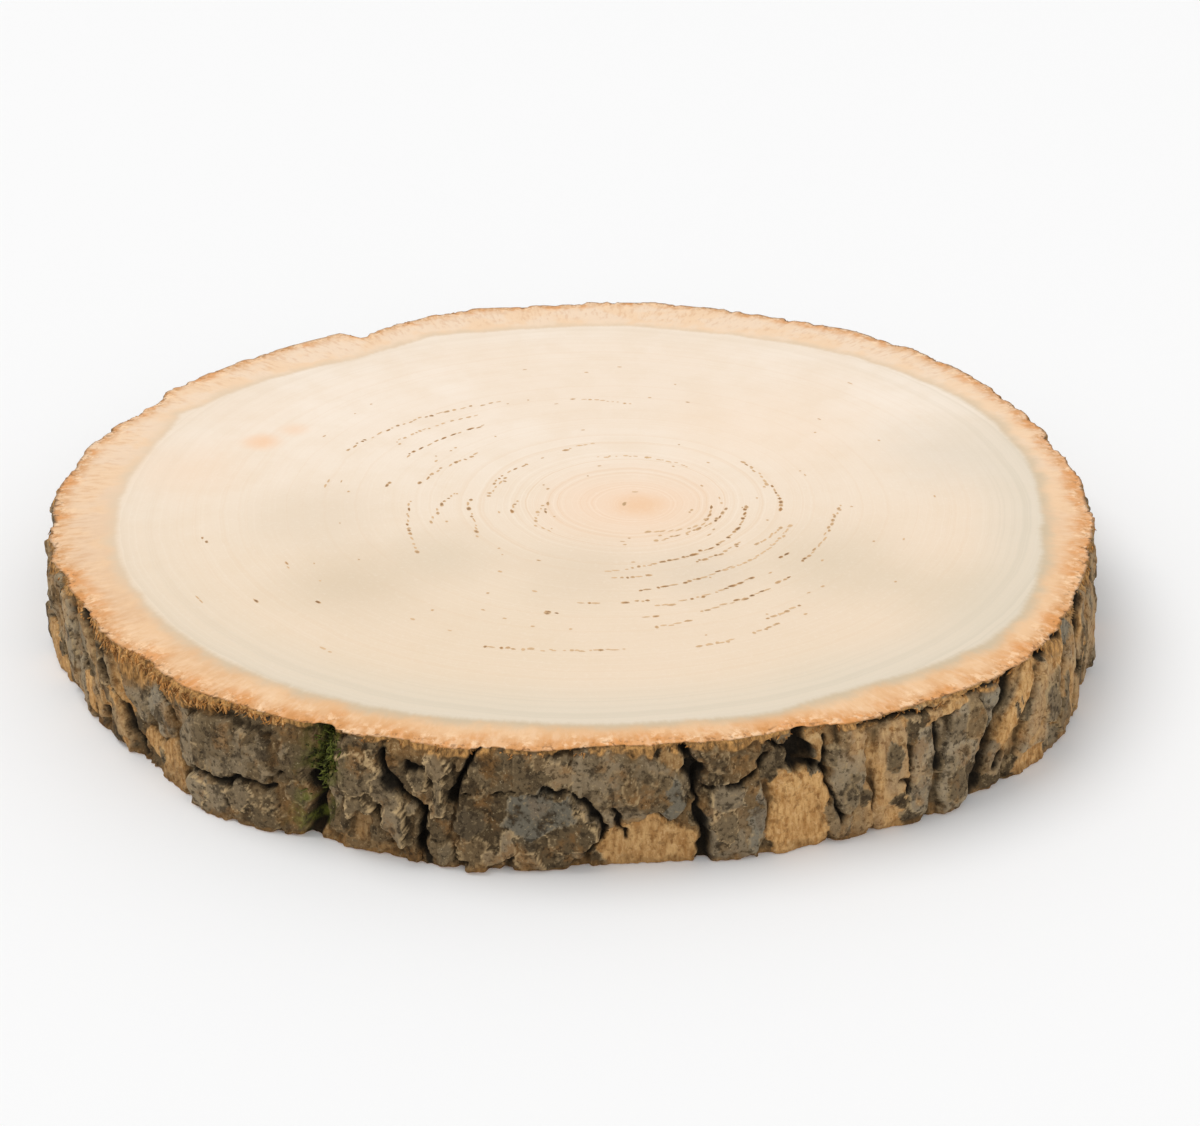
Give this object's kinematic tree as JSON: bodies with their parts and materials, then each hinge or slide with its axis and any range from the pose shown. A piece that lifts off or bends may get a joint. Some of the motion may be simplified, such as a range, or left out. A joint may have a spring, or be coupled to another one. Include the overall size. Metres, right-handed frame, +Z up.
{
  "type": "wood slice",
  "caption": "Flat round slice sawn across a tree trunk, pale wood inside a ring of inner bark, with rough plated bark on its side wall.",
  "frame": {"origin": "on the surface the slice lies on, under the middle of its box", "axes": "+Z up out of the top sawn face, +X along the longer width, -Y towards the front bark that has the moss"},
  "size_m": [0.24, 0.237, 0.025],
  "materials": {
    "wood": "sawn and sanded raw wood, dry and matt, with rough grey-brown bark round the edge",
    "moss": "soft matt green moss"
  },
  "bodies": {
    "root": {"wood_slice": "wood", "moss_tuft": "moss"}
  },
  "joints": []
}
